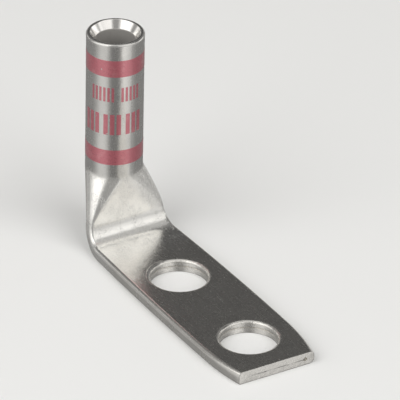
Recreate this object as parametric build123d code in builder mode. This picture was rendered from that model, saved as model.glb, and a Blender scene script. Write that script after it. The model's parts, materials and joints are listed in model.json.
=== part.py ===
"""
Two-hole compression lug with its tongue bent at a right angle.

The lug is made from one length of copper tube. The upper part stays round and is the barrel that
is crimped on a stranded conductor. Below it the back wall is pressed forward until both walls lie
together, and that flat strip is bent into a tongue, punched for two studs and cut off at its tip.

Frame: the origin is on the seating face under the tongue, midway between the stud holes.
+X points to the tongue's tip, +Y across the tongue and +Z up along the barrel. Millimetres.
"""

import os
from math import cos, pi, sin

from build123d import *

# Conductor barrel
barrel_diameter = 6.95
bore_diameter = 4.7
overall_height = 27.1
rim_land = 0.48
rim_cone_depth = 1.0
rim_flare = 0.06
rim_flare_length = 2.2
rim_edge_radius = 0.25
rim_cone_break = 0.05

# Neck, where the round tube goes over into the flat strip
neck_top_height = 9.2
neck_foot_width = 10.15
neck_ease = 1.2
neck_sections = 5
round_side = 8
hollow_end_gap = 0.3

# Flat strip and its bend
strip_thickness = 1.6
bend_radius = 2.1
bend_sections = 7
edge_radius = 0.5

# Tongue outline
heel_width = 11.4
shoulder_width = 12.0
side_bow = 0.35
tip_draw_in = 0.9
shoulder_to_tip = 6.6
cut_edge_radius = 0.12

# Stud holes
stud_hole_diameter = 6.9
stud_hole_spacing = 15.875
barrel_to_stud_hole = 15.55
stud_hole_to_tip = 6.3
hole_rim_break = 0.35
hole_foot_break = 0.1

# Seam between the two pressed walls, where the cut and the punch open it
seam_gap = 0.08
seam_depth = 0.1

# Places that follow from the sizes above
barrel_radius = barrel_diameter / 2
bore_radius = bore_diameter / 2
wall = barrel_radius - bore_radius
rim_radius = barrel_radius + rim_flare
near_hole_x = -stud_hole_spacing / 2
far_hole_x = stud_hole_spacing / 2
barrel_x = near_hole_x - barrel_to_stud_hole
front_face_x = barrel_x + barrel_radius
heel_x = front_face_x + bend_radius
neck_foot_height = strip_thickness + bend_radius
neck_length = neck_top_height - neck_foot_height
tip_x = far_hole_x + stud_hole_to_tip
shoulder_x = tip_x - shoulder_to_tip
belly_x = (heel_x + shoulder_x) / 2
belly_width = (heel_width + shoulder_width) / 2 + side_bow
tip_width = shoulder_width - 2 * tip_draw_in
barrel_plane = Plane(origin=(barrel_x, 0, 0), x_dir=(1, 0, 0), z_dir=(0, -1, 0))
barrel_axis = Axis((barrel_x, 0, 0), (0, 0, 1))


def blend(first, last, share):
    """The value that lies the given share of the way from first to last."""
    return first + (last - first) * share


def neck_section(flattening):
    """Width, depth and corner radius of the neck, from 0 where it is round to 1 where it is the flat strip."""
    width = blend(barrel_diameter, neck_foot_width, flattening)
    depth = blend(barrel_diameter, strip_thickness, flattening)
    return width, depth, blend(barrel_radius, edge_radius, flattening)


def hollow_section(flattening):
    """Width, depth and corner radius of the space that is left between the neck's walls."""
    width, depth, corner = neck_section(flattening)
    gap = depth - 2 * wall
    return width - 2 * wall, gap, max(corner - wall, gap / 4)


def level_plane(flattening):
    """Level plane of one neck section, centred on it and behind the flat front that all of them share."""
    fall = neck_length * (1 - (1 - flattening) ** (1 / neck_ease))
    depth = neck_section(flattening)[1]
    centre = (front_face_x - depth / 2, 0, neck_top_height - fall)
    return Plane(origin=centre, x_dir=(0, 1, 0), z_dir=(0, 0, 1))


def tube_face(plane, width, depth, corner):
    """Face of a rounded rectangle or, where its corners fill it, of a circle in as many edges."""
    if 2 * corner < depth:
        return plane * RectangleRounded(width, depth, corner, mode=Mode.PRIVATE).face()
    turns = [90 * quarter + side * round_side / 2 for quarter in range(4) for side in (-1, 1)]
    ends = turns[1:] + [360 + turns[0]]
    arcs = [Edge.make_circle(corner, start_angle=start, end_angle=end) for start, end in zip(turns, ends)]
    return plane * Face(Wire(arcs))


def bend_plane(turn):
    """Plane square to the strip at a turn round the bend, from 0 at the neck to a right angle at the heel."""
    middle_radius = bend_radius + strip_thickness / 2
    centre_x = heel_x - middle_radius * cos(turn)
    centre_z = neck_foot_height - middle_radius * sin(turn)
    return Plane(origin=(centre_x, 0, centre_z), x_dir=(0, 1, 0), z_dir=(sin(turn), 0, -cos(turn)))


# Tongue, with bowed sides that draw in past the far hole to the straight cut of the tip
with BuildPart() as tongue:
    with BuildSketch():
        with BuildLine():
            heel = (heel_x, heel_width / 2)
            shoulder = (shoulder_x, shoulder_width / 2)
            tip = (tip_x, tip_width / 2)
            side = ThreePointArc(heel, (belly_x, belly_width / 2), shoulder)
            TangentArc(shoulder, tip, tangent=side % 1)
            Line(tip, (tip_x, 0))
            Line((heel_x, 0), heel)
            mirror(about=Plane.XZ)
        make_face()
    extrude(amount=strip_thickness)

    # Rounded edges of the pressed sides, then the sharper ones of the cut
    level_edges = tongue.edges().filter_by(Plane.XY)
    side_edges = level_edges.filter_by(lambda edge: abs(edge.center().Y) > tip_width / 4)
    fillet(side_edges, edge_radius)
    fillet(tongue.faces().sort_by(Axis.X)[-1].edges(), cut_edge_radius)

    # Stud holes, drawn in at the side that the punch entered
    with Locations((near_hole_x, 0, strip_thickness), (far_hole_x, 0, strip_thickness)):
        Hole(stud_hole_diameter / 2, depth=strip_thickness)
    hole_edges = tongue.edges(Select.LAST).filter_by(GeomType.CIRCLE).group_by(Axis.Z)
    chamfer(hole_edges[-1], hole_rim_break)
    chamfer(hole_edges[0], hole_foot_break)

    # Seam, which runs a wall's thickness inside the folded sides
    with BuildSketch(Plane.XY.offset((strip_thickness - seam_gap) / 2)):
        with Locations((tip_x, 0)):
            Rectangle(2 * seam_depth, tip_width - 2 * wall)
        with Locations((near_hole_x, 0), (far_hole_x, 0)):
            Circle(stud_hole_diameter / 2 + seam_depth)
    extrude(amount=seam_gap, mode=Mode.SUBTRACT)

# Sections of the neck, and of the hollow in it, which ends where the walls have all but met
neck_steps = [step / (neck_sections - 1) for step in range(neck_sections)]
neck_faces = [tube_face(level_plane(step), *neck_section(step)) for step in neck_steps]
hollow_end = (bore_diameter - hollow_end_gap) / (barrel_diameter - strip_thickness)
hollow_steps = [min(hollow_end, 1) * step for step in neck_steps]
hollow_faces = [tube_face(level_plane(step), *hollow_section(step)) for step in hollow_steps]

with BuildPart() as lug:
    # Barrel wall, with a slight flare at its rim and a cone in its mouth that guides the strands in
    with BuildSketch(barrel_plane) as wall_section:
        with BuildLine():
            flare_foot = (barrel_radius, overall_height - rim_flare_length)
            rim = (rim_radius, overall_height)
            cone_top = (rim_radius - rim_land, overall_height)
            cone_foot = (bore_radius, overall_height - rim_cone_depth)
            Line((barrel_radius, neck_top_height), flare_foot)
            TangentArc(flare_foot, rim, tangent=(0, 1))
            Polyline(rim, cone_top, cone_foot, (bore_radius, neck_top_height), (barrel_radius, neck_top_height))
        make_face()
        rim_corners = wall_section.vertices().group_by(Axis.Y)[-1].sort_by(Axis.X)
        chamfer(rim_corners[0], rim_cone_break)
        fillet(rim_corners[-1], rim_edge_radius)
    revolve(axis=barrel_axis)

    # Neck, from the barrel's circle to the flat strip, with its front kept upright
    loft(neck_faces)

    # Bend, in which the strip widens from the neck's foot to the tongue's heel
    for step in range(bend_sections):
        share = step / (bend_sections - 1)
        with BuildSketch(bend_plane(share * pi / 2)):
            RectangleRounded(blend(neck_foot_width, heel_width, share), strip_thickness, edge_radius)
    loft()
    add(tongue.part)

    # Closing end of the bore, down to where the walls meet
    loft(hollow_faces, mode=Mode.SUBTRACT)

lug.part.label = "lug"
os.makedirs("parts", exist_ok=True)
export_step(lug.part, "parts/lug.step")
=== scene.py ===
"""
Looks of the two-hole compression lug: a tinned tube, pressed flat and bent, with rings of marking ink.

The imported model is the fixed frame. One fine mesh stands for its solid and follows the same sections:
a belled barrel, the neck that goes over into a flat strip, the bend and the punched tongue. The ink
rings and the plain index bars between them are thin films that Geometry Nodes wrap round the barrel.
Lengths are metres, worked out from the frame where it holds them. Only the shaders work in millimetres.
"""

from __future__ import annotations

import json
import logging
import math
from dataclasses import dataclass, field
from enum import Enum

import bmesh
import bpy
import numpy as np
from mathutils import Matrix, Vector
from mathutils.geometry import delaunay_2d_cdt

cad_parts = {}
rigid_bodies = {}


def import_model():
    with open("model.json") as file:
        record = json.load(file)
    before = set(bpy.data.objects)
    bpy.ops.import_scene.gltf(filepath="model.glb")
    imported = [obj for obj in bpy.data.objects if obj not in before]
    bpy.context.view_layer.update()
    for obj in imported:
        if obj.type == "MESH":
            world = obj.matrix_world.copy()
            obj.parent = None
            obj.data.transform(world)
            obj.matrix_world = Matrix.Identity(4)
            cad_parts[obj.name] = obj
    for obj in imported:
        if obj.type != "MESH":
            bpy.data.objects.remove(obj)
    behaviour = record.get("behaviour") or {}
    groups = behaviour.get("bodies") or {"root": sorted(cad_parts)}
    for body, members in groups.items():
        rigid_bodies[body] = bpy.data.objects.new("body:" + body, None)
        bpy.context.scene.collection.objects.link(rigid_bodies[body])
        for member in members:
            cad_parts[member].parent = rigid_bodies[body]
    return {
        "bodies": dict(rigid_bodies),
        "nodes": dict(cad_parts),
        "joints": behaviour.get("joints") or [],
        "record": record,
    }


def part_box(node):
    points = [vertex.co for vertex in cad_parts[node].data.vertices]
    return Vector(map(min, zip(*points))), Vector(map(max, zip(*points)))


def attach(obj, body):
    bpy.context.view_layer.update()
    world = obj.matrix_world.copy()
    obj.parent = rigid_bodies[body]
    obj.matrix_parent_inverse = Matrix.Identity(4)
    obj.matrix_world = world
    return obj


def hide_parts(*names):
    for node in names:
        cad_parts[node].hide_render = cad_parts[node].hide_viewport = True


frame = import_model()

log = logging.getLogger("lug")
MM = 0.001

# Points nearer than this count as one
TOUCH = 1e-4 * MM

# A row of points, a place in an outline, an opaque colour, and the values at which a mask is 0 and 1
Loop = np.ndarray
Point = tuple[float, float]
Colour = tuple[float, float, float, float]
Span = tuple[float, float]


class Slot(Enum):
    """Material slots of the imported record."""

    TINNED_COPPER = "tinned_copper"


class Value:
    """One node socket that takes part in Python arithmetic by adding Math nodes."""

    def __init__(self, bench: Bench, socket: bpy.types.NodeSocket) -> None:
        """Keeps the socket and the bench that it belongs to."""
        self.bench = bench
        self.socket = socket

    def _math(self, operation: str, first: Operand, second: Operand = 0.0) -> Value:
        """Adds one Math node.

        Args:
            operation: the Math node's operation.
            first: its first operand.
            second: its second operand.

        Returns:
            The node's result.
        """
        return self.bench.add("ShaderNodeMath", {"operation": operation}, {0: first, 1: second})

    def __add__(self, other: Operand) -> Value:
        """Sum."""
        return self._math("ADD", self, other)

    def __sub__(self, other: Operand) -> Value:
        """Difference."""
        return self._math("SUBTRACT", self, other)

    def __rsub__(self, other: Operand) -> Value:
        """Reflected difference, for forms such as 1 - mask."""
        return self._math("SUBTRACT", other, self)

    def __mul__(self, other: Operand) -> Value:
        """Product."""
        return self._math("MULTIPLY", self, other)

    def __truediv__(self, other: Operand) -> Value:
        """Quotient."""
        return self._math("DIVIDE", self, other)

    def __abs__(self) -> Value:
        """Absolute value."""
        return self._math("ABSOLUTE", self)

    def over(self, other: Operand) -> Value:
        """Angle of the vector whose height is this value and whose base is the other one."""
        return self._math("ARCTAN2", self, other)

    def wave(self) -> Value:
        """Sine."""
        return self._math("SINE", self)

    def cowave(self) -> Value:
        """Cosine."""
        return self._math("COSINE", self)

    def root(self) -> Value:
        """Square root."""
        return self._math("SQRT", self)

    def whole(self) -> Value:
        """Largest whole number that isn't over this value."""
        return self._math("FLOOR", self)

    def arcsine(self) -> Value:
        """Angle whose sine this value is."""
        return self._math("ARCSINE", self)

    def step(self, start: float, end: float) -> Value:
        """Smooth step from 0 at start to 1 at end, or falling where start is the larger one.

        Args:
            start: value at which the step is still 0.
            end: value from which on it is 1.

        Returns:
            The step's share.
        """
        low, high = min(start, end), max(start, end)
        rise = self.bench.add(
            "ShaderNodeMapRange",
            {"interpolation_type": "SMOOTHSTEP"},
            {"Value": self, "From Min": low, "From Max": high},
        )
        return rise if start < end else 1.0 - rise

    __radd__ = __add__
    __rmul__ = __mul__


Operand = Value | float


class Bench:
    """Adds nodes to one node tree, shader and geometry alike."""

    def __init__(self, tree: bpy.types.NodeTree) -> None:
        """Empties the tree and keeps it."""
        tree.nodes.clear()
        self.tree = tree

    def add(
        self,
        kind: str,
        settings: dict[str, object] | None = None,
        inputs: dict[int | str, object] | None = None,
        output: int | str = 0,
    ) -> Value | None:
        """Adds one node, sets it up and plugs in its inputs.

        Args:
            kind: the node's type name.
            settings: properties that are set first.
            inputs: values or links of its sockets, by index or name.
            output: the socket that the caller goes on with.

        Returns:
            The chosen output, or nothing for a node that has none.
        """
        node = self.tree.nodes.new(kind)
        for name, setting in (settings or {}).items():
            setattr(node, name, setting)
        for key, value in (inputs or {}).items():
            if isinstance(value, Value):
                self.tree.links.new(value.socket, node.inputs[key])
            else:
                node.inputs[key].default_value = value
        return Value(self, node.outputs[output]) if len(node.outputs) else None

    def split(self, vector: Value) -> list[Value]:
        """The three parts of a vector."""
        node = self.add("ShaderNodeSeparateXYZ", None, {0: vector}).socket.node
        return [Value(self, socket) for socket in node.outputs]

    def join(self, x: Operand = 0.0, y: Operand = 0.0, z: Operand = 0.0) -> Value:
        """The vector that has these three parts."""
        return self.add("ShaderNodeCombineXYZ", None, {0: x, 1: y, 2: z})

    def scaled(self, vector: Value, factor: Operand) -> Value:
        """A vector or colour times one factor."""
        inputs = {0: vector, "Scale": factor}
        return self.add("ShaderNodeVectorMath", {"operation": "SCALE"}, inputs)

    def place(self) -> Value:
        """Object coordinates in millimetres."""
        return self.scaled(self.add("ShaderNodeTexCoord", None, None, "Object"), 1 / MM)

    def mix(self, share: Operand, first: object, second: object) -> Value:
        """Mix of two colours.

        Args:
            share: share of the second colour.
            first: colour at share 0.
            second: colour at share 1.

        Returns:
            The mixed colour.
        """
        inputs = {"Factor": share, 6: first, 7: second}
        return self.add("ShaderNodeMix", {"data_type": "RGBA"}, inputs, 2)

    def noise(self, place: Value, scale: float, detail: float, roughness: float = 0.5) -> Value:
        """Noise between 0 and 1 with the given number of features per unit of place."""
        inputs = {"Vector": place, "Scale": scale, "Detail": detail, "Roughness": roughness}
        return self.add("ShaderNodeTexNoise", None, inputs)

    def cells(self, place: Value, scale: float) -> Value:
        """Distance to the nearest of randomly strewn points."""
        inputs = {"Vector": place, "Scale": scale, "Randomness": 1.0}
        return self.add("ShaderNodeTexVoronoi", None, inputs)

    def surface(self, inputs: dict[str, object]) -> None:
        """Ends a material's tree in a Principled shader with these inputs."""
        shader = self.add("ShaderNodeBsdfPrincipled", None, inputs)
        self.add("ShaderNodeOutputMaterial", None, {"Surface": shader})


def rgba(red: float, green: float, blue: float) -> Colour:
    """Opaque colour from its linear parts."""
    return red, green, blue, 1.0


def around(place: float, span: Span) -> Span:
    """A span moved to a place."""
    return place + span[0], place + span[1]


def new_material(name: str) -> tuple[bpy.types.Material, Bench]:
    """Makes an empty node material.

    Args:
        name: the material's name.

    Returns:
        The material and its bench.
    """
    material = bpy.data.materials.new(name)
    material.use_nodes = True
    return material, Bench(material.node_tree)


def new_object(name: str, data: bpy.types.ID) -> bpy.types.Object:
    """Makes an object.

    Args:
        name: the object's name.
        data: its mesh, camera or light.

    Returns:
        The object, linked to the scene.
    """
    thing = bpy.data.objects.new(name, data)
    bpy.context.scene.collection.objects.link(thing)
    return thing


@dataclass(frozen=True)
class TinnedCopper:
    """Satin tin over pressed copper, with fine pits, rubbed lines and a few bright nicks.

    Lengths are millimetres, as in the shader.
    """

    # Barrel, tongue, neck with a painted highlight, mouth cone partly with one, and bore with painted
    # shade
    colour: Colour = rgba(0.80, 0.79, 0.765)
    pressed_colour: Colour = rgba(0.93, 0.91, 0.87)
    # Painted highlight: the neck's front is made whiter than the rest of the metal
    neck_highlight_colour: Colour = rgba(1.0, 0.99, 0.96)
    # Partly the machined cone's own brighter metal, partly a painted highlight
    cone_metal_and_highlight_colour: Colour = rgba(0.96, 0.945, 0.92)
    # Painted shade: the bore's hollow is a dull dark grey that stands for its shade and bounced light
    bore_shade_colour: Colour = rgba(0.33, 0.318, 0.30)

    # Where each of them begins: from the neck's top, the bore's wall, the cone's foot and edge, the
    # middle of a stud hole, the tip's face and, for the neck's and the pits' own, the frame's origin
    pressed_span: Span = (0.4, -1.2)
    bore_end_span: Span = (-0.7, -0.2)
    bore_span: Span = (0.06, 0.02)
    cone_foot_span: Span = (-0.03, 0.03)
    cone_edge_span: Span = (0.04, -0.02)
    hole_span: Span = (4.0, 3.75)
    tip_span: Span = (-0.1, -0.02)
    neck_span: Span = (-12.5, -16.5)
    pitted_span: Span = (-15.0, -18.0)

    # Features per millimetre, and how the rubbed lines and the torn layers are stretched
    cloud_scale: float = 0.55
    grain_scale: float = 3.2
    speck_scale: float = 11.0
    nick_scale: float = 1.7
    torn_scale: float = 1.3
    rub_stretch: tuple[float, float, float] = (0.35, 7.0, 0.5)
    torn_stretch: float = 4.0

    # Dull patches at random, which the neck mostly loses as part of its painted highlight
    dull_share: float = 0.83
    dull_clouds: Span = (0.35, 0.7)
    dull_cloud_weight: float = 0.4
    dull_specks: Span = (0.45, 0.75)
    dull_speck_weight: float = 0.25
    # Painted highlight: this share of the dull patches drops out on the neck
    neck_highlight_undull: float = 0.75

    # Gloss
    smooth: float = 0.2
    rough: float = 0.34
    rough_grain: Span = (0.3, 0.75)
    rough_rubbed: Span = (0.45, 0.8)
    bore_roughening: float = 0.3
    # Painted shade: the bore loses this share of its metal, so its dark grey is lit like a matte wall
    bore_shade_matte: float = 0.85
    cone_polish: float = 0.45

    # Relief
    grain_depth: float = 0.007
    pressed_grain_depth: float = 0.0036
    cloud_depth: float = 0.032
    rub_depth: float = 0.004
    torn_depth: float = 0.06
    pit_depth: float = 0.05
    pit_specks: Span = (0.56, 0.74)
    pit_clouds: Span = (0.44, 0.6)
    nick_spots: Span = (0.075, 0.02)
    nick_grain: Span = (0.5, 0.62)

    def make(self, sizes: LugSizes) -> bpy.types.Material:
        """Builds the material.

        Args:
            sizes: the lug's sizes, which say where its neck and tongue begin.

        Returns:
            The finished material.
        """
        material, bench = new_material("tinned_copper")
        place = bench.place()
        along, across, height = bench.split(place)

        # Masks of the neck and tongue, the bore, the mouth's cone and the cut faces
        neck_top = sizes.neck_top / MM
        pressed = height.step(*around(neck_top, self.pressed_span))
        neck = pressed * along.step(*self.neck_span)
        tongue = pressed - neck
        from_axis = along - sizes.barrel_x / MM
        radius = (from_axis * from_axis + across * across).root()
        in_bore = radius.step(*around(sizes.bore_radius / MM, self.bore_span))
        in_bore = in_bore * height.step(*around(neck_top, self.bore_end_span))
        land = (sizes.rim_radius - sizes.rim_land) / MM
        cone = height.step(*around((sizes.high[2] - sizes.cone_depth) / MM, self.cone_foot_span))
        cone = cone * radius.step(*around(land, self.cone_edge_span))
        from_hole = abs(along) - sizes.hole_places[1] / MM
        hole = (from_hole * from_hole + across * across).root().step(*self.hole_span)
        cut = hole + along.step(*around(sizes.tip_x / MM, self.tip_span))

        # Patterns
        cloud = bench.noise(place, self.cloud_scale, detail=3.0)
        grain = bench.noise(place, self.grain_scale, detail=4.0, roughness=0.6)
        speck = bench.noise(place, self.speck_scale, detail=3.0, roughness=0.65)
        lines = [part * stretch for part, stretch in zip((along, across, height), self.rub_stretch)]
        rubbed = bench.noise(bench.join(*lines), 1.0, detail=5.0, roughness=0.7)
        layers = bench.join(along, across, height * self.torn_stretch)
        torn = bench.noise(layers, self.torn_scale, detail=4.0, roughness=0.65)
        nick = bench.cells(place, self.nick_scale).step(*self.nick_spots) * grain.step(*self.nick_grain)
        pits = speck.step(*self.pit_specks) * cloud.step(*self.pit_clouds)
        pits = pits * pressed * along.step(*self.pitted_span)

        # Colour, gloss and relief
        dull = (
            cloud.step(*self.dull_clouds) * self.dull_cloud_weight
            + speck.step(*self.dull_specks) * self.dull_speck_weight
        )
        # Painted highlight on the neck: it keeps few of the dull patches and takes a whiter colour
        shade = 1.0 - dull * (1 - self.dull_share) * (1.0 - neck * self.neck_highlight_undull)
        metal_and_neck_highlight = bench.mix(neck, bench.mix(pressed, self.colour, self.pressed_colour), self.neck_highlight_colour)
        # The mouth cone's colour is partly its machined metal and partly a painted highlight
        colour = bench.mix(cone, bench.scaled(metal_and_neck_highlight, shade), self.cone_metal_and_highlight_colour)
        worn = (grain.step(*self.rough_grain) + rubbed.step(*self.rough_rubbed)) * 0.5
        roughness = self.smooth + (self.rough - self.smooth) * worn + in_bore * self.bore_roughening
        relief = (
            grain * (self.grain_depth - pressed * (self.grain_depth - self.pressed_grain_depth))
            + tongue * (cloud * self.cloud_depth + rubbed * self.rub_depth)
            + torn * self.torn_depth * cut
            - (pits + nick) * self.pit_depth
        )
        bump = bench.add("ShaderNodeBump", None, {"Strength": 1.0, "Distance": MM, "Height": relief})
        # Painted shade inside the bore: dark grey and little metal stand for the hollow's shade and
        # bounced light
        bench.surface(
            {
                "Base Color": bench.mix(in_bore, colour, self.bore_shade_colour),
                "Metallic": 1.0 - in_bore * self.bore_shade_matte,
                "Roughness": roughness * (1.0 - cone * self.cone_polish),
                "Normal": bump,
            }
        )
        return material


@dataclass(frozen=True)
class MarkingInk:
    """Thin red dye that lets the metal shine through, with a few chips."""

    colour: Colour = rgba(0.54, 0.12, 0.155)
    worn_colour: Colour = rgba(0.65, 0.25, 0.275)
    metal_share: float = 0.6
    smooth: float = 0.22
    rough: float = 0.36
    gloss_ior: float = 2.0
    gloss_roughness: float = 0.25
    cloud_scale: float = 0.9
    speck_scale: float = 6.0
    chip_scale: float = 0.75
    worn_clouds: Span = (0.5, 0.75)
    worn_specks: Span = (0.55, 0.8)
    chip_spots: Span = (0.085, 0.06)
    chip_specks: Span = (0.4, 0.5)

    def make(self) -> bpy.types.Material:
        """Builds the material.

        Returns:
            The finished material.
        """
        material, bench = new_material("marking_ink")
        place = bench.place()
        cloud = bench.noise(place, self.cloud_scale, detail=4.0)
        speck = bench.noise(place, self.speck_scale, detail=4.0, roughness=0.65)
        worn = (cloud.step(*self.worn_clouds) + speck.step(*self.worn_specks)) * 0.5
        chip = bench.cells(place, self.chip_scale).step(*self.chip_spots)
        bench.surface(
            {
                "Base Color": bench.mix(worn, self.colour, self.worn_colour),
                "Metallic": self.metal_share,
                "Roughness": self.smooth + (self.rough - self.smooth) * speck,
                "Alpha": 1.0 - chip * speck.step(*self.chip_specks),
                "Coat Weight": 1.0,
                "Coat IOR": self.gloss_ior,
                "Coat Roughness": self.gloss_roughness,
            }
        )
        return material


@dataclass
class LugSizes:
    """Sizes of the lug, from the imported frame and, where it has none, from the part's own rules."""

    # From the frame
    low: Vector
    high: Vector
    barrel_x: float
    bore_radius: float
    hole_radius: float
    hole_spacing: float
    neck_top: float

    # Barrel and its mouth
    barrel_radius: float = 3.475 * MM
    rim_land: float = 0.48 * MM
    cone_depth: float = 1.0 * MM
    flare_length: float = 2.2 * MM
    rim_edge: float = 0.32 * MM
    cone_edge: float = 0.12 * MM

    # Neck and bend
    neck_foot_width: float = 10.15 * MM
    neck_ease: float = 1.2
    kink_ease: float = 0.07
    hollow_gap: float = 0.3 * MM
    thickness: float = 1.6 * MM
    bend_radius: float = 2.1 * MM
    edge_radius: float = 0.5 * MM

    # Tongue and its tip
    heel_width: float = 11.4 * MM
    belly_width: float = 12.046 * MM
    shoulder_width: float = 12.0 * MM
    tip_width: float = 10.2 * MM
    shoulder_to_tip: float = 6.6 * MM
    tip_left_radius: float = 0.24 * MM
    tip_left_lean: float = 0.2 * MM
    tip_right_radius: float = 0.62 * MM
    cut_edge: float = 0.08 * MM

    # Stud holes and the seam between the pressed walls
    hole_rim: float = 0.55 * MM
    hole_drop: float = 0.32 * MM
    hole_foot: float = 0.12 * MM
    seam_gap: float = 0.07 * MM
    seam_depth: float = 0.16 * MM
    seam_lip: float = 0.05 * MM
    seam_flare: float = 0.015 * MM

    @classmethod
    def from_frame(cls, packed: dict) -> LugSizes:
        """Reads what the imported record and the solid's box say.


        Returns:
            The sizes.
        """
        mounts = {mount["name"]: mount for mount in packed["record"]["mounts"]}
        bore, studs = mounts["barrel_bore"], mounts["stud_holes"]
        low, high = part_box("lug")
        return cls(
            low=Vector(low),
            high=Vector(high),
            barrel_x=bore["pos_m"][0],
            bore_radius=bore["dims"]["r_mm"] * MM,
            hole_radius=studs["dims"]["hole_r_mm"] * MM,
            hole_spacing=studs["dims"]["spacing_x_mm"] * MM,
            neck_top=high[2] - cls.cone_depth - bore["dims"]["length_mm"] * MM,
        )

    @property
    def wall(self) -> float:
        """Thickness of the tube's wall."""
        return self.barrel_radius - self.bore_radius

    @property
    def rim_radius(self) -> float:
        """Outer radius of the belled rim."""
        return self.barrel_x - self.low[0]

    @property
    def front_x(self) -> float:
        """Plane that the barrel's front and the neck's flat front share."""
        return self.barrel_x + self.barrel_radius

    @property
    def heel_x(self) -> float:
        """Where the bend ends and the tongue begins."""
        return self.front_x + self.bend_radius

    @property
    def foot_z(self) -> float:
        """Where the neck ends and the bend begins."""
        return self.thickness + self.bend_radius

    @property
    def tip_x(self) -> float:
        """The cut end of the tongue."""
        return self.high[0]

    @property
    def shoulder_x(self) -> float:
        """Where the tongue begins to draw in to its tip."""
        return self.tip_x - self.shoulder_to_tip

    @property
    def hole_places(self) -> tuple[float, float]:
        """Where the two stud holes stand along the tongue."""
        return -self.hole_spacing / 2, self.hole_spacing / 2


def blend(first: float, last: float, share: float) -> float:
    """The value that lies the given share of the way from first to last."""
    return first + (last - first) * share


def on_arc(centre: np.ndarray, radius: float, angle: float) -> np.ndarray:
    """The point of an arc at one angle."""
    return centre + radius * np.array((math.cos(angle), math.sin(angle)))


@dataclass
class SectionRule:
    """Points of a rounded rectangle or a circle, always as many, so that all the sections join up."""

    corner_steps: int = 14
    wide_steps: int = 20
    narrow_steps: int = 6
    lead_angle: float = math.radians(4)

    @property
    def count(self) -> int:
        """Number of points of one section."""
        return 4 * self.corner_steps + 2 * (self.wide_steps + self.narrow_steps)

    def points(self, width: float, depth: float, corner: float) -> Loop:
        """Points of one section, from the front face's -Y end round by +Y and the back.

        Args:
            width: size across the strip.
            depth: size through the strip.
            corner: radius of its corners.

        Returns:
            One row per point: across and towards the front.
        """
        half_across, half_front = width / 2 - corner, depth / 2 - corner
        centres = np.array(
            [
                (-half_across, half_front),
                (half_across, half_front),
                (half_across, -half_front),
                (-half_across, -half_front),
            ]
        )
        rows = []
        for side in range(4):
            start, end = centres[side], centres[(side + 1) % 4]
            outward = math.pi / 2 - side * math.pi / 2
            flat = float(np.linalg.norm(end - start))
            lead = corner * self.lead_angle
            steps = self.wide_steps if side % 2 == 0 else self.narrow_steps
            for walked in np.linspace(0.0, flat + 2 * lead, steps, endpoint=False):
                if walked < lead:
                    turn, centre = (lead - walked) / corner, start
                elif walked <= lead + flat:
                    share = (walked - lead) / flat if flat else 0.0
                    turn, centre = 0.0, start + (end - start) * share
                else:
                    turn, centre = -(walked - lead - flat) / corner, end
                rows.append(on_arc(centre, corner, outward + turn))
            last_turn = math.pi / 2 - self.lead_angle
            for turn in np.linspace(self.lead_angle, last_turn, self.corner_steps, endpoint=False):
                rows.append(on_arc(end, corner, outward - turn))
        return np.array(rows)

    def front_slice(self) -> slice:
        """Indexes of the front face, corner to corner."""
        return slice(0, self.wide_steps + 1)

    def back_slice(self) -> slice:
        """Indexes of the back face, corner to corner."""
        first = self.wide_steps + self.narrow_steps + 2 * self.corner_steps
        return slice(first, first + self.wide_steps + 1)


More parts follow.
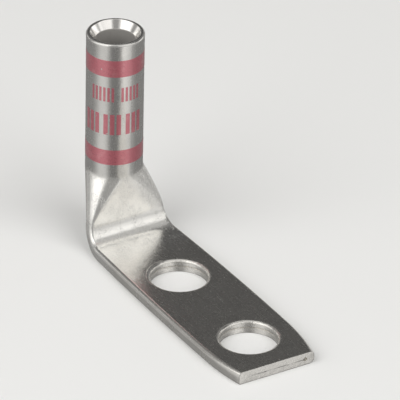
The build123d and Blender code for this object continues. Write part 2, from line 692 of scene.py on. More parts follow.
class MeshBuilder:
    """Collects loops of points and the faces between them."""

    def __init__(self) -> None:
        """Starts with no points and no faces."""
        self.points: list[Vector] = []
        self.faces: list[tuple[int, ...]] = []

    def loop(self, places: np.ndarray) -> list[int]:
        """Adds points.

        Args:
            places: one row per point.

        Returns:
            The points' indexes.
        """
        first = len(self.points)
        self.points += [Vector(place) for place in places]
        return list(range(first, len(self.points)))

    def bridge(self, first: list[int], second: list[int], closed: bool = True) -> None:
        """Joins two rows of as many points by quads.

        Args:
            first: indexes of one row.
            second: indexes of the other one.
            closed: whether the rows run round.
        """
        count = len(first)
        for index in range(count if closed else count - 1):
            after = (index + 1) % count
            self.faces.append((first[index], first[after], second[after], second[index]))

    def skin(self, rings: list[list[int]]) -> list[int]:
        """Joins each ring to the next.

        Args:
            rings: indexes of each ring, in order.

        Returns:
            The last ring.
        """
        for first, second in zip(rings, rings[1:]):
            self.bridge(first, second)
        return rings[-1]

    def fan(self, ring: list[int], centre: np.ndarray) -> None:
        """Closes a ring with triangles to one point.

        Args:
            ring: the ring's indexes.
            centre: the point that the triangles meet in.
        """
        middle = self.loop(np.array([centre]))[0]
        for index, corner in enumerate(ring):
            self.faces.append((corner, ring[(index + 1) % len(ring)], middle))

    def plate(self, outline: list[int], openings: list[list[int]], axes: tuple[int, int]) -> None:
        """Fills a flat outline that has openings.

        Args:
            outline: indexes of the outer ring.
            openings: indexes of each inner ring.
            axes: the two coordinates that the plate lies in.
        """
        rings = [outline, *openings]
        used = [index for ring in rings for index in ring]
        flat = [Vector((self.points[i][axes[0]], self.points[i][axes[1]])) / MM for i in used]
        edges = []
        first = 0
        for ring in rings:
            edges += [(first + i, first + (i + 1) % len(ring)) for i in range(len(ring))]
            first += len(ring)
        triangles = delaunay_2d_cdt(flat, edges, [], 0, 1e-7)[2]
        polygons = [[flat[used.index(i)] for i in ring] for ring in rings]
        for triangle in triangles:
            centre = (flat[triangle[0]] + flat[triangle[1]] + flat[triangle[2]]) / 3
            in_opening = any(inside(centre, hole) for hole in polygons[1:])
            if inside(centre, polygons[0]) and not in_opening:
                self.faces.append(tuple(used[i] for i in triangle))

    def finish(
        self, name: str, material: bpy.types.Material, sharp_angle: float
    ) -> bpy.types.Object:
        """Makes the object.

        Args:
            name: its name.
            material: its finish.
            sharp_angle: edges that turn more than this stay sharp.

        Returns:
            The object, linked to the scene.
        """
        mesh = bpy.data.meshes.new(name)
        mesh.from_pydata([tuple(point) for point in self.points], [], self.faces)
        work = bmesh.new()
        work.from_mesh(mesh)
        bmesh.ops.remove_doubles(work, verts=work.verts, dist=TOUCH)
        bmesh.ops.recalc_face_normals(work, faces=work.faces)
        open_edges = sum(1 for edge in work.edges if not edge.is_manifold)
        work.to_mesh(mesh)
        work.free()
        mesh.shade_smooth()
        mesh.set_sharp_from_angle(angle=sharp_angle)
        mesh.materials.append(material)
        log.info("%s: %d faces, %d open edges", name, len(mesh.polygons), open_edges)
        return new_object(name, mesh)


def inside(point: Vector, polygon: list[Vector]) -> bool:
    """Tells whether a point lies inside a polygon, by counting the edges to its right.

    Args:
        point: the point.
        polygon: the polygon's corners in order.

    Returns:
        Whether it lies inside.
    """
    found = False
    for first, second in zip(polygon, polygon[1:] + polygon[:1]):
        if (first.y > point.y) != (second.y > point.y):
            crossing = first.x + (point.y - first.y) * (second.x - first.x) / (second.y - first.y)
            if crossing > point.x:
                found = not found
    return found


@dataclass
class Arc:
    """Circular arc of an outline, as a height over the axis."""

    centre: Point
    radius: float

    def height(self, x: float) -> float:
        """Height of the arc at one place."""
        return self.centre[1] + math.sqrt(self.radius**2 - (x - self.centre[0]) ** 2)


def arc_through(first: Point, middle: Point, last: Point) -> Arc:
    """Finds the arc through three points.

    Args:
        first: its start.
        middle: a point between.
        last: its end.

    Returns:
        The arc.
    """
    (ax, ay), (bx, by), (cx, cy) = first, middle, last
    scale = 2 * (ax * (by - cy) + bx * (cy - ay) + cx * (ay - by))
    a2, b2, c2 = ax * ax + ay * ay, bx * bx + by * by, cx * cx + cy * cy
    x = (a2 * (by - cy) + b2 * (cy - ay) + c2 * (ay - by)) / scale
    y = (a2 * (cx - bx) + b2 * (ax - cx) + c2 * (bx - ax)) / scale
    return Arc((x, y), math.hypot(ax - x, ay - y))


def arc_from(before: Arc, start: Point, end: Point) -> Arc:
    """Finds the arc that goes on smoothly from another one.

    Args:
        before: the arc that it goes on from.
        start: where they meet.
        end: its end.

    Returns:
        The arc.
    """
    way = np.array(before.centre) - np.array(start)
    way /= np.linalg.norm(way)
    chord = np.array(end) - np.array(start)
    radius = float(chord @ chord / (2 * chord @ way))
    centre = np.array(start) + way * radius
    return Arc((float(centre[0]), float(centre[1])), abs(radius))


@dataclass(frozen=True)
class TipSeam:
    """Course of the seam across the tip's face: it wavers, and ends in a small pocket on the right.

    Openings are shares of the seam's gap, and a waver is its height and its turn per millimetre.
    """

    overrun: float = 0.15 * MM
    fine_part: float = 0.6 * MM
    coarse_spacing: float = 0.1 * MM
    coarse_points: int = 36
    fine_points: int = 14
    fade: float = 0.2 * MM
    least: float = 0.12
    usual: float = 0.6
    long_waver: tuple[float, float] = (0.4, 2.3)
    short_waver: tuple[float, float] = (0.15, 7.0)
    pocket: float = 7.0
    pocket_place: float = 0.26 * MM
    pocket_reach: float = 0.2 * MM
    deepest: float = 3.0

    def course(self, half_slit: float) -> tuple[np.ndarray, np.ndarray]:
        """Lays out the points of the seam.

        Args:
            half_slit: half the distance between the tube's inner sides.

        Returns:
            Their places across the tip, and the opening at each.
        """
        end = half_slit + self.overrun
        fine_start = end - self.fine_part
        coarse = np.linspace(-half_slit, fine_start - self.coarse_spacing, self.coarse_points)
        across = np.append(coarse, np.linspace(fine_start, end, self.fine_points))
        to_end = np.minimum(across + half_slit, end - across)
        opening = np.clip(to_end / self.fade, self.least, 1.0)
        wavers = (self.long_waver, self.short_waver)
        opening *= self.usual + sum(height * np.sin(across / MM * pace) for height, pace in wavers)
        opening += self.pocket * np.exp(-(((across - end + self.pocket_place) / self.pocket_reach) ** 2))
        return across, opening


@dataclass
class LugBody:
    """The pressed, bent and punched tube itself."""

    sizes: LugSizes
    rule: SectionRule = field(default_factory=SectionRule)
    seam: TipSeam = field(default_factory=TipSeam)

    # How many sections each part has, from the rim down and on to the tip
    flare_stations: int = 8
    barrel_stations: int = 24
    cone_shares: tuple[float, ...] = (0.1, 0.4, 0.7, 0.92)
    bore_stations: int = 10
    hollow_stations: int = 14
    neck_stations: int = 34
    bend_stations: int = 26
    tongue_stations: int = 60
    edge_stations: int = 5
    hole_stations: int = 9
    hole_points: int = 96

    # Narrow strips that keep the shading of the large faces flat, and edges that stay sharp
    support: float = 0.05 * MM
    side_margin: float = 0.1 * MM
    cone_foot_edge: float = 0.01 * MM
    cone_foot_strip: float = 0.06 * MM
    sharp_angle: float = math.radians(50)

    def circle(self, radius: float, z: float) -> Loop:
        """Section of the barrel at one height."""
        flat = self.rule.points(2 * radius, 2 * radius, radius)
        return np.array([(self.sizes.barrel_x + front, across, z) for across, front in flat])

    def flattening(self, share: float) -> float:
        """Tells how flat the neck is at one place, with a soft start below the barrel.

        Args:
            share: share of the neck's length, from the barrel down.

        Returns:
            0 where the neck is round, up to 1 where it is the flat strip.
        """
        ease = self.sizes.kink_ease
        soft = share * share / (2 * ease) if share < ease else share - ease / 2
        return 1 - (1 - soft / (1 - ease / 2)) ** self.sizes.neck_ease

    def neck_loop(self, share: float, inset: float = 0.0) -> Loop:
        """Section at a share of the neck's length.

        Args:
            share: 0 where the neck is round, 1 where it is the flat strip.
            inset: the wall's thickness for the hollow, nothing for the outside.

        Returns:
            The section's points.
        """
        sizes = self.sizes
        flat = self.flattening(share)
        width = blend(2 * sizes.barrel_radius, sizes.neck_foot_width, flat)
        depth = blend(2 * sizes.barrel_radius, sizes.thickness, flat)
        corner = blend(sizes.barrel_radius, sizes.edge_radius, flat)
        z = blend(sizes.neck_top, sizes.foot_z, share)
        middle = sizes.front_x - depth / 2
        if inset:
            width, gap = width - 2 * inset, depth - 2 * inset
            depth, corner = gap, max(corner - inset, gap / 4)
        section = self.rule.points(width, depth, corner)
        return np.array([(middle + front, across, z) for across, front in section])

    def bend_loop(self, share: float) -> Loop:
        """Lays out one section of the bend.

        Args:
            share: 0 at the neck's foot, 1 at the tongue's heel.

        Returns:
            The section's points.
        """
        sizes = self.sizes
        turn = share * math.pi / 2
        middle = sizes.bend_radius + sizes.thickness / 2
        width = blend(sizes.neck_foot_width, sizes.heel_width, share)
        section = self.rule.points(width, sizes.thickness, sizes.edge_radius)
        out, up = math.cos(turn), math.sin(turn)
        centre = np.array((sizes.heel_x - middle * out, 0, sizes.foot_z - middle * up))
        return np.array([centre + (front * out, across, front * up) for across, front in section])

    def half_width(self, x: float) -> float:
        """Works out the tongue's outline: a slight belly, then the draw-in to the tip.

        Args:
            x: place along the tongue.

        Returns:
            Half its width there.
        """
        sizes = self.sizes
        heel = (sizes.heel_x, sizes.heel_width / 2)
        shoulder = (sizes.shoulder_x, sizes.shoulder_width / 2)
        belly = ((sizes.heel_x + sizes.shoulder_x) / 2, sizes.belly_width / 2)
        side = arc_through(heel, belly, shoulder)
        if x <= sizes.shoulder_x:
            return side.height(x)
        return arc_from(side, shoulder, (sizes.tip_x, sizes.tip_width / 2)).height(x)

    def tongue_loop(self, x: float, inset: float = 0.0) -> Loop:
        """Lays out one section of the tongue.

        Args:
            x: place along the tongue.
            inset: how far it is drawn in where the cut edge is rounded.

        Returns:
            The section's points.
        """
        sizes = self.sizes
        width = 2 * self.half_width(min(x, sizes.tip_x)) - 2 * inset
        drawn = max(0.0, min(1.0, (x - sizes.shoulder_x) / sizes.shoulder_to_tip))
        depth = sizes.thickness - 2 * inset
        left, right = (
            self.rule.points(width, depth, blend(sizes.edge_radius, tip_radius, drawn) - inset)
            for tip_radius in (sizes.tip_left_radius, sizes.tip_right_radius)
        )
        left[:, 0] += sizes.tip_left_lean * drawn * (np.maximum(left[:, 1], 0) / (depth / 2)) ** 2
        section = np.where(left[:, :1] < 0, left, right)
        middle = sizes.thickness / 2 + inset
        return np.array([(x, across, middle + front * (1 - inset / depth)) for across, front in section])

    def ring(self, x: float, radius: float, z: float) -> Loop:
        """One ring of points round a stud hole."""
        angles = np.linspace(0, 2 * math.pi, self.hole_points, endpoint=False)
        return np.array([(x + radius * math.cos(a), radius * math.sin(a), z) for a in angles])

    def build(self, material: bpy.types.Material) -> bpy.types.Object:
        """Builds the whole body.

        Args:
            material: its finish.

        Returns:
            The finished object.
        """
        mesh = MeshBuilder()
        mouth, last_barrel = self._add_barrel(mesh)
        heel = self._add_neck_and_bend(mesh, last_barrel)
        self._add_inside(mesh, mouth)
        self._add_tongue(mesh, heel)
        return mesh.finish("lug_body", material, self.sharp_angle)

    def _add_barrel(self, mesh: MeshBuilder) -> tuple[list[int], list[int]]:
        """Adds the belled barrel and its rim.

        Args:
            mesh: the mesh that is built.

        Returns:
            The mouth's ring and the lowest ring.
        """
        sizes = self.sizes
        top = sizes.high[2]
        edge, soft = sizes.rim_edge, sizes.cone_edge
        land_radius = sizes.rim_radius - sizes.rim_land
        lean = math.atan2(sizes.cone_depth, land_radius - sizes.bore_radius)
        soft_centre = land_radius + soft * math.tan(lean / 2)
        profile = []
        for turn in np.linspace(lean, 0, self.edge_stations):
            profile.append((soft_centre - soft * math.sin(turn), top - soft * (1 - math.cos(turn))))
        for turn in np.linspace(math.pi / 2, 0, 2 * self.edge_stations):
            radius = sizes.rim_radius - edge * (1 - math.cos(turn))
            profile.append((radius, top - edge * (1 - math.sin(turn))))
        flare_foot = top - sizes.flare_length
        rise = sizes.rim_radius - sizes.barrel_radius
        for z in np.linspace(top - edge, flare_foot, self.flare_stations)[1:]:
            share = (z - flare_foot) / sizes.flare_length
            profile.append((sizes.barrel_radius + rise * share * share, z))
        for z in np.linspace(flare_foot, sizes.neck_top, self.barrel_stations)[1:]:
            profile.append((sizes.barrel_radius, z))
        rings = [mesh.loop(self.circle(radius, z)) for radius, z in profile]
        return rings[0], mesh.skin(rings)

    def _add_neck_and_bend(self, mesh: MeshBuilder, start: list[int]) -> list[int]:
        """Adds the outside from the barrel's foot to the tongue's heel.

        Args:
            mesh: the mesh that is built.
            start: the barrel's lowest ring.

        Returns:
            The heel's ring.
        """
        neck = [self.neck_loop(share) for share in np.linspace(0, 1, self.neck_stations)[1:]]
        bend = [self.bend_loop(share) for share in np.linspace(0, 1, self.bend_stations)[1:]]
        return mesh.skin([start] + [mesh.loop(places) for places in neck + bend])

    def _add_inside(self, mesh: MeshBuilder, mouth: list[int]) -> None:
        """Adds the mouth's cone, the bore and its closing end.

        Args:
            mesh: the mesh that is built.
            mouth: the ring that the cone starts from.
        """
        sizes = self.sizes
        bore_radius, top = sizes.bore_radius, sizes.high[2]
        land_radius = sizes.rim_radius - sizes.rim_land
        cone_foot = top - sizes.cone_depth
        profile = [
            (blend(land_radius, bore_radius, share), blend(top, cone_foot, share))
            for share in self.cone_shares
        ]
        profile.append((bore_radius + self.cone_foot_edge, cone_foot + self.cone_foot_edge))
        bore = np.linspace(cone_foot - self.cone_foot_strip, sizes.neck_top, self.bore_stations)
        profile += [(bore_radius, z) for z in bore]
        rings = [mesh.loop(self.circle(radius, z)) for radius, z in profile]

        # The hollow ends where its walls have all but met
        depth_end = 2 * sizes.wall + sizes.hollow_gap
        flat_end = (2 * sizes.barrel_radius - depth_end) / (2 * sizes.barrel_radius - sizes.thickness)
        share_end = 1 - (1 - flat_end) ** (1 / sizes.neck_ease)
        for share in np.linspace(0, share_end, self.hollow_stations)[1:]:
            rings.append(mesh.loop(self.neck_loop(share, sizes.wall)))
        last = mesh.skin([mouth] + rings)
        mesh.fan(last, np.mean([mesh.points[index] for index in last], axis=0))

    def _add_tongue(self, mesh: MeshBuilder, heel: list[int]) -> None:
        """Adds the tongue's sides, its rounded tip, both faces and the walls of the stud holes.

        Args:
            mesh: the mesh that is built.
            heel: the ring that the bend ends in.
        """
        sizes, rule = self.sizes, self.rule
        front, back = rule.front_slice(), rule.back_slice()
        cut = sizes.cut_edge
        stations = np.linspace(sizes.heel_x, sizes.tip_x - cut, self.tongue_stations)
        rings = [heel] + [mesh.loop(self.tongue_loop(x)) for x in stations[1:]]
        right_side = [*range(front.stop - 1, back.start + 1)]
        left_side = [*range(back.stop - 1, rule.count), 0]
        for first, second in zip(rings, rings[1:]):
            for run in (right_side, left_side):
                mesh.bridge([first[i] for i in run], [second[i] for i in run], closed=False)
        tip_rings = [rings[-1]]
        for turn in np.linspace(0, math.pi / 2, self.edge_stations)[1:]:
            x = sizes.tip_x - cut + cut * math.sin(turn)
            tip_rings.append(mesh.loop(self.tongue_loop(x, cut * (1 - math.cos(turn)))))
        self._add_tip_face(mesh, mesh.skin(tip_rings))
        self._add_face(mesh, rings, front, sizes.thickness, sizes.hole_rim)
        self._add_face(mesh, rings, back, 0.0, sizes.hole_foot)
        for x in sizes.hole_places:
            self._add_hole_wall(mesh, x)

    def _add_face(
        self, mesh: MeshBuilder, rings: list[list[int]], run: slice, level: float, hole_edge: float
    ) -> None:
        """Adds the tongue's top or bottom face, with a narrow border that keeps its shading flat.

        Args:
            mesh: the mesh that is built.
            rings: the tongue's sections, heel to tip.
            run: the part of each section that lies in the face.
            level: the face's height.
            hole_edge: width of the soft edge round the stud holes.
        """
        sizes = self.sizes
        first_side = [ring[run.start] for ring in rings[1:-1]]
        second_side = [ring[run.stop - 1] for ring in rings[1:-1]]
        outline = rings[0][run] + second_side + rings[-1][run][::-1] + first_side[::-1]
        places = np.array([mesh.points[i] for i in outline])
        x, y = places[:, 0].copy(), places[:, 1].copy()
        at_end = (x - x.min() < TOUCH) | (x.max() - x < TOUCH)
        at_side = abs(y) > sizes.tip_width / 2 - sizes.edge_radius - self.side_margin
        places[:, 0] -= np.sign(x - x.mean()) * self.support * at_end
        places[:, 1] -= np.sign(y) * self.support * at_side
        places[:, 2] = level
        border = mesh.loop(places)
        mesh.bridge(outline, border)
        radius = sizes.hole_radius + hole_edge
        openings = []
        for hole_x in sizes.hole_places:
            edge = mesh.loop(self.ring(hole_x, radius, level))
            wide = mesh.loop(self.ring(hole_x, radius + self.support, level))
            mesh.bridge(wide, edge)
            openings.append(wide)
        mesh.plate(border, openings, (0, 1))

    def _add_hole_wall(self, mesh: MeshBuilder, x: float) -> None:
        """Adds a stud hole's wall with its soft edges and the seam between the two pressed walls.

        Args:
            mesh: the mesh that is built.
            x: the hole's place along the tongue.
        """
        sizes = self.sizes
        radius, middle, half_gap = sizes.hole_radius, sizes.thickness / 2, sizes.seam_gap / 2
        turns = np.linspace(0, math.pi / 2, self.hole_stations)
        out, down = 1 - np.sin(turns), 1 - np.cos(turns)
        rim = zip(radius + sizes.hole_rim * out, sizes.thickness - sizes.hole_drop * down)
        foot = zip(radius + sizes.hole_foot * out[::-1], sizes.hole_foot * down[::-1])
        seam = [
            (radius, middle + half_gap + sizes.seam_lip),
            (radius + sizes.seam_flare, middle + half_gap),
            (radius + sizes.seam_depth, middle),
            (radius + sizes.seam_flare, middle - half_gap),
            (radius, middle - half_gap - sizes.seam_lip),
        ]
        mesh.skin([mesh.loop(self.ring(x, ring_radius, z)) for ring_radius, z in [*rim, *seam, *foot]])

    def _add_tip_face(self, mesh: MeshBuilder, ring: list[int]) -> None:
        """Closes the tip, with the seam as a slit that runs between the tube's inner sides.

        Args:
            mesh: the mesh that is built.
            ring: the last ring of the tongue's rounded edge.
        """
        sizes = self.sizes
        middle = sizes.thickness / 2
        across, opening = self.seam.course(sizes.tip_width / 2 - sizes.wall)
        heights = sizes.seam_gap / 2 * opening
        depths = sizes.seam_depth * np.clip(opening, 1.0, self.seam.deepest)
        upper = [(sizes.tip_x, y, middle + height) for y, height in zip(across, heights)]
        lower = [(sizes.tip_x, y, middle - height) for y, height in zip(across, heights)]
        slit = mesh.loop(np.array(upper + lower[::-1]))
        mesh.plate(ring, [slit], (1, 2))
        deepest = [(sizes.tip_x - depth, y, middle) for y, depth in zip(across, depths)]
        floor = mesh.loop(np.array(deepest))
        count = len(across)
        mesh.bridge(slit[:count], floor, closed=False)
        mesh.bridge(floor, slit[count:][::-1], closed=False)
        mesh.faces.append((slit[0], floor[0], slit[-1]))
        mesh.faces.append((slit[count - 1], slit[count], floor[-1]))


@dataclass
class InkTile:
    """One row of equal tiles of ink."""

    middle_z: float
    height: float
    width: float
    pitch: float = 0.0
    count: int = 1
    group_size: int = 1
    group_gap: float = 0.0
    start_angle: float = 0.0


@dataclass
class InkFilm:
    """Rings and index bars of marking ink, wrapped round the barrel by Geometry Nodes."""

    sizes: LugSizes
    material: bpy.types.Material
    thickness: float = 0.012 * MM
    sunk: float = 0.03 * MM
    step: float = 0.12 * MM
    sharp_angle: float = math.radians(40)

    def tree(self) -> bpy.types.NodeTree:
        """Builds the tree that lays out one row of tiles and wraps it round the barrel.

        Returns:
            The node tree, whose inputs are the row's sizes.
        """
        tree = bpy.data.node_groups.new("ink_row", "GeometryNodeTree")
        bench = Bench(tree)
        kinds = {
            "Float": (
                "Barrel Radius", "Middle", "Tile Width", "Tile Height", "Pitch", "Group Gap",
                "Start Angle", "Thickness", "Sunk",
            ),
            "Int": ("Count", "Group Size", "Columns"),
            "Material": ("Ink",),
        }
        for kind, names in kinds.items():
            for name in names:
                tree.interface.new_socket(name, in_out="INPUT", socket_type=f"NodeSocket{kind}")
        tree.interface.new_socket("Geometry", in_out="OUTPUT", socket_type="NodeSocketGeometry")
        entry = tree.nodes.new("NodeGroupInput")
        given = {socket.name: Value(bench, socket) for socket in entry.outputs if socket.name}

        # A flat row of tiles, in groups with gaps between them
        size = {"Size X": given["Tile Width"], "Size Y": given["Tile Height"]}
        parts = {"Vertices X": given["Columns"], "Vertices Y": 2}
        tile = bench.add("GeometryNodeMeshGrid", None, {**size, **parts})
        pitch = {"Count": given["Count"], "Offset": bench.join(given["Pitch"])}
        line = bench.add("GeometryNodeMeshLine", None, pitch)
        group = (bench.add("GeometryNodeInputIndex") / given["Group Size"]).whole()
        gap = {"Geometry": line, "Offset": bench.join(group * given["Group Gap"])}
        places = bench.add("GeometryNodeSetPosition", None, gap)
        row = bench.add("GeometryNodeInstanceOnPoints", None, {"Points": places, "Instance": tile})
        flat = bench.add("GeometryNodeRealizeInstances", None, {"Geometry": row})

        # Closed solids of the film's thickness
        depth = {"Mesh": flat, "Offset Scale": given["Thickness"] + given["Sunk"], "Individual": False}
        solid = bench.add("GeometryNodeExtrudeMesh", None, depth)
        floor = bench.add("GeometryNodeFlipFaces", None, {"Mesh": flat})
        both = bench.add("GeometryNodeJoinGeometry", None, {0: solid})
        tree.links.new(floor.socket, both.socket.node.inputs[0])
        merged = bench.add("GeometryNodeMergeByDistance", None, {"Geometry": both, "Distance": TOUCH})

        # Wrapped round the barrel
        along, up, out = bench.split(bench.add("GeometryNodeInputPosition"))
        angle = given["Start Angle"] + along / given["Barrel Radius"]
        radius = given["Barrel Radius"] - given["Sunk"] + out
        wrapped = bench.join(radius * angle.cowave(), radius * angle.wave(), given["Middle"] + up)
        bent = bench.add("GeometryNodeSetPosition", None, {"Geometry": merged, "Position": wrapped})
        real = bench.add("GeometryNodeRealizeInstances", None, {"Geometry": bent})
        inked = bench.add("GeometryNodeSetMaterial", None, {"Geometry": real, "Material": given["Ink"]})
        bench.add("NodeGroupOutput", None, {0: inked})
        return tree

    def row(self, tree: bpy.types.NodeTree, name: str, tile: InkTile) -> bpy.types.Object:
        """Makes one row of the film.

        Args:
            tree: the tree of tree().
            name: name of the piece.
            tile: sizes and places of its tiles.

        Returns:
            A plain mesh object in its place on the barrel.
        """
        carrier = new_object(name, bpy.data.meshes.new(name))
        modifier = carrier.modifiers.new("ink", "NODES")
        modifier.node_group = tree
        wanted = {
            "Barrel Radius": self.sizes.barrel_radius,
            "Middle": tile.middle_z,
            "Tile Width": tile.width,
            "Tile Height": tile.height,
            "Pitch": tile.pitch,
            "Group Gap": tile.group_gap,
            "Start Angle": tile.start_angle,
            "Count": tile.count,
            "Group Size": tile.group_size,
            "Columns": max(2, round(tile.width / self.step) + 1),
            "Thickness": self.thickness,
            "Sunk": self.sunk,
            "Ink": self.material,
        }
        for item in tree.interface.items_tree:
            if item.in_out == "INPUT":
                modifier[item.identifier] = wanted[item.name]
        depsgraph = bpy.context.evaluated_depsgraph_get()
        wrapped = carrier.evaluated_get(depsgraph)
        mesh = bpy.data.meshes.new_from_object(wrapped, depsgraph=depsgraph)
        carrier.modifiers.clear()
        carrier.data = mesh
        for vertex in mesh.vertices:
            vertex.co.x += self.sizes.barrel_x
        mesh.shade_smooth()
        mesh.set_sharp_from_angle(angle=self.sharp_angle)
        log.info("%s: %d faces", name, len(mesh.polygons))
        return carrier


@dataclass(frozen=True)
class Panel:
    """Soft-edged part of the light tent: azimuths from the camera's own, elevations and tone."""

    left: float
    right: float
    low: float
    high: float
    tone: float
    side_blur: float = 8.0
    level_blur: float = 7.0

    def glow(self, turn: Value, rise: Value) -> Value:
        """The panel's tone in one direction.

        Args:
            turn: the direction's azimuth from the camera's, in degrees.
            rise: its elevation in degrees.

        Returns:
            The tone, which fades out at the panel's edges.
        """
        glow = rise.step(self.low - self.level_blur, self.low + self.level_blur) * self.tone
        if self.high < 90:
            glow = glow * rise.step(self.high + self.level_blur, self.high - self.level_blur)
        if self.right - self.left < 360:
            glow = glow * turn.step(self.left - self.side_blur, self.left + self.side_blur)
            glow = glow * turn.step(self.right + self.side_blur, self.right - self.side_blur)
        return glow


@dataclass
class Studio:
    """Pale floor, the light tent round the object, two soft lamps and the camera."""

    # Camera
    azimuth: float = math.radians(-31.541)
    elevation: float = math.radians(30.437)
    roll: float = math.radians(1.225)
    distance: float = 656.17 * MM
    pixels_per_metre: float = 8471.0
    target: tuple[float, float, float] = (-9.4875 * MM, 0.0, 9.0 * MM)
    shift_right: float = 3.09 * MM
    shift_up: float = 1.92 * MM
    frame_pixels: int = 400
    sensor_width: float = 36.0
    clip_start: float = 0.01

    # Floor and lamps
    floor_reach: float = 2.0
    floor_colour: Colour = rgba(0.80, 0.80, 0.79)
    floor_cloud_colour: Colour = rgba(0.83, 0.83, 0.82)
    lamp_side: float = math.radians(50)
    lamp_place: float = 0.45
    lamp_size: float = 0.5
    lamp_power: float = 1.5

    # Tent
    tent_colour: Colour = rgba(1, 0.99, 0.97)
    sky_colour: Colour = rgba(0.9, 0.9, 0.89)
    base_tone: float = 0.074
    panels: tuple[Panel, ...] = (
        # All round, from below and from above
        Panel(-181, -17, -90, -8, 0.185, level_blur=8),
        Panel(17, 181, -90, -8, 0.175, level_blur=8),
        Panel(-17, 17, -90, -8, 0.13, level_blur=8),
        Panel(-181, 181, 60, 90, 0.50),
        # Level, behind the object and at the camera
        Panel(-200, -140, -14, 12, 0.22),
        Panel(140, 200, -14, 12, 0.22),
        Panel(-26, 24, -12, 60, 0.22),
        # Low on the left, behind and on the right
        Panel(-84, -20, -60, -2, 0.16, side_blur=12),
        Panel(-68, -27, -60, -2, 0.28, side_blur=11),
        Panel(-98, -70, -22, 2, 0.20),
        Panel(-128, -90, -22, -6, 0.17, level_blur=5),
        Panel(68, 150, -22, -6, 0.09, level_blur=5),
        Panel(158, 200, -24, 9, 0.38, level_blur=5),
        Panel(-200, -158, -24, 9, 0.38, level_blur=5),
        Panel(24, 84, -60, -2, 0.14),
        Panel(28, 67, -60, -2, 0.34, side_blur=5),
        Panel(26, 46, -60, -2, 0.20, side_blur=4),
        # Level and high on the left
        Panel(-93, -24, -4, 14, 0.60),
        Panel(-88, -28, 12, 74, 1.15),
        Panel(-124, -88, -8, 12, 0.14),
        Panel(-124, -88, 12, 60, 0.22),
        Panel(-36, -16, 30, 60, 0.30, side_blur=5),
        Panel(-138, -110, 2, 16, 0.70, level_blur=4),
        # Level and high on the right
        Panel(34, 70, -4, 12, 0.45),
        Panel(80, 150, -20, -2, 0.13),
        Panel(78, 106, 14, 30, 0.35, side_blur=6),
        Panel(70, 112, -4, 12, 0.28),
        Panel(20, 88, 12, 62, 0.72),
        Panel(20, 88, 32, 62, 0.18),
        Panel(98, 132, 1, 18, 1.10, level_blur=4),
        # High behind
        Panel(-170, -125, 22, 52, 0.08),
        Panel(125, 168, 10, 52, 0.12),
    )

    def add_camera(self) -> None:
        """Adds the camera at the viewing angle and makes it the scene's own."""
        level = math.cos(self.elevation)
        heading = math.cos(self.azimuth), math.sin(self.azimuth)
        back = Vector((level * heading[0], level * heading[1], math.sin(self.elevation)))
        right = (-back).cross(Vector((0, 0, 1))).normalized()
        up = right.cross(-back)
        data = bpy.data.cameras.new("camera")
        data.sensor_width = self.sensor_width
        data.lens = self.pixels_per_metre * self.distance / self.frame_pixels * self.sensor_width
        data.clip_start = self.clip_start
        camera = new_object("camera", data)
        centre = Vector(self.target) + right * self.shift_right + up * self.shift_up
        turned_right = right * math.cos(self.roll) + up * math.sin(self.roll)
        turned_up = up * math.cos(self.roll) - right * math.sin(self.roll)
        turn = Matrix((turned_right, turned_up, back)).transposed()
        camera.matrix_world = Matrix.Translation(centre + back * self.distance) @ turn.to_4x4()
        bpy.context.scene.camera = camera

    def add_floor(self) -> None:
        """Adds the pale floor, which metal doesn't mirror: it shows the light tent there."""
        material, bench = new_material("pale_floor")
        coordinates = bench.add("ShaderNodeTexCoord", None, None, "Object")
        cloud = bench.noise(coordinates, 2.0, detail=2.0)
        colour = bench.mix(cloud, self.floor_colour, self.floor_cloud_colour)
        bench.surface({"Base Color": colour, "Roughness": 0.9})
        mesh = bpy.data.meshes.new("floor")
        reach = self.floor_reach
        corners = [(-reach, -reach, 0), (reach, -reach, 0), (reach, reach, 0), (-reach, reach, 0)]
        mesh.from_pydata(corners, [], [(0, 1, 2, 3)])
        mesh.materials.append(material)
        floor = new_object("floor", mesh)
        floor.visible_glossy = False

    def add_lamp(self, name: str, side: float) -> None:
        """Adds one soft lamp.

        Args:
            name: its name.
            side: its azimuth from the camera's, positive to the right.
        """
        data = bpy.data.lights.new(name, "AREA")
        data.energy = self.lamp_power
        data.size = self.lamp_size
        lamp = new_object(name, data)
        heading = self.azimuth + side
        lamp.location = Vector((math.cos(heading), math.sin(heading), 1)) * self.lamp_place
        lamp.rotation_euler = lamp.location.to_track_quat("Z", "Y").to_euler()
        lamp.visible_glossy = False

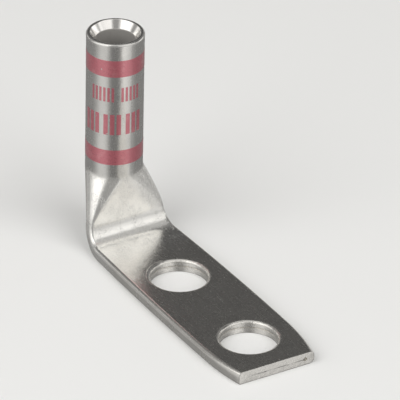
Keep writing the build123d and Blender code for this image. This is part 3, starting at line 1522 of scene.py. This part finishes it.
    def add_tent(self) -> None:
        """Adds the light tent that the metal mirrors, as the world, and a pale sky for the camera."""
        world = bpy.data.worlds.new("light_tent")
        world.use_nodes = True
        bpy.context.scene.world = world
        bench = Bench(world.node_tree)
        x, y, z = bench.split(bench.add("ShaderNodeTexCoord", None, None, "Generated"))
        ahead = x * math.cos(self.azimuth) + y * math.sin(self.azimuth)
        aside = y * math.cos(self.azimuth) - x * math.sin(self.azimuth)
        turn = aside.over(ahead) * (180 / math.pi)
        rise = z.arcsine() * (180 / math.pi)
        tone = self.base_tone
        for panel in self.panels:
            tone = panel.glow(turn, rise) + tone
        seen = bench.add("ShaderNodeLightPath", None, None, "Is Camera Ray")
        tent = bench.add("ShaderNodeBackground", None, {"Color": self.tent_colour, "Strength": tone})
        sky = bench.add("ShaderNodeBackground", None, {"Color": self.sky_colour, "Strength": 1.0})
        shown = bench.add("ShaderNodeMixShader", None, {0: seen, 1: tent, 2: sky})
        bench.add("ShaderNodeOutputWorld", None, {"Surface": shown})

    def build(self) -> None:
        """Adds everything that isn't the object."""
        self.add_camera()
        self.add_floor()
        self.add_tent()
        self.add_lamp("left_lamp", -self.lamp_side)
        self.add_lamp("right_lamp", self.lamp_side)
        bpy.context.scene.view_settings.view_transform = "Standard"


def dress(thing: bpy.types.Object) -> None:
    """Makes a piece ride on the lug's only body.

    Args:
        thing: the piece.
    """
    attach(thing, "root")
    log.info("piece %s rides on root", thing.name)


def ink_rows(sizes: LugSizes) -> dict[str, InkTile]:
    """Gives the rings and the rows of bars their sizes and places.

    Args:
        sizes: the lug's sizes.

    Returns:
        The tiles of each row, by the names of their pieces.
    """
    circumference = 2 * math.pi * sizes.barrel_radius
    return {
        "upper_ring": InkTile(middle_z=23.85 * MM, height=2.2 * MM, width=circumference),
        "lower_ring": InkTile(middle_z=11.8 * MM, height=2.0 * MM, width=circumference),
        "small_bars": InkTile(
            middle_z=20.35 * MM,
            height=1.9 * MM,
            width=0.3 * MM,
            pitch=0.52 * MM,
            count=11,
            group_size=6,
            group_gap=0.65 * MM,
            start_angle=Studio.azimuth - math.radians(45.5),
        ),
        "bold_bars": InkTile(
            middle_z=16.3 * MM,
            height=2.75 * MM,
            width=0.54 * MM,
            pitch=0.8 * MM,
            count=9,
            group_size=3,
            group_gap=0.32 * MM,
            start_angle=Studio.azimuth - math.radians(61.5),
        ),
    }


def main() -> None:
    """Builds the lug, its ink and the studio."""
    logging.basicConfig(level=logging.INFO, format="%(name)s: %(message)s")
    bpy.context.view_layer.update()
    sizes = LugSizes.from_frame(frame)
    Studio().build()
    body = LugBody(sizes).build(TinnedCopper().make(sizes))
    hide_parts("lug")
    dress(body)
    film = InkFilm(sizes, MarkingInk().make())
    tree = film.tree()
    for name, tile in ink_rows(sizes).items():
        dress(film.row(tree, name, tile))


if __name__ == "__main__":
    main()
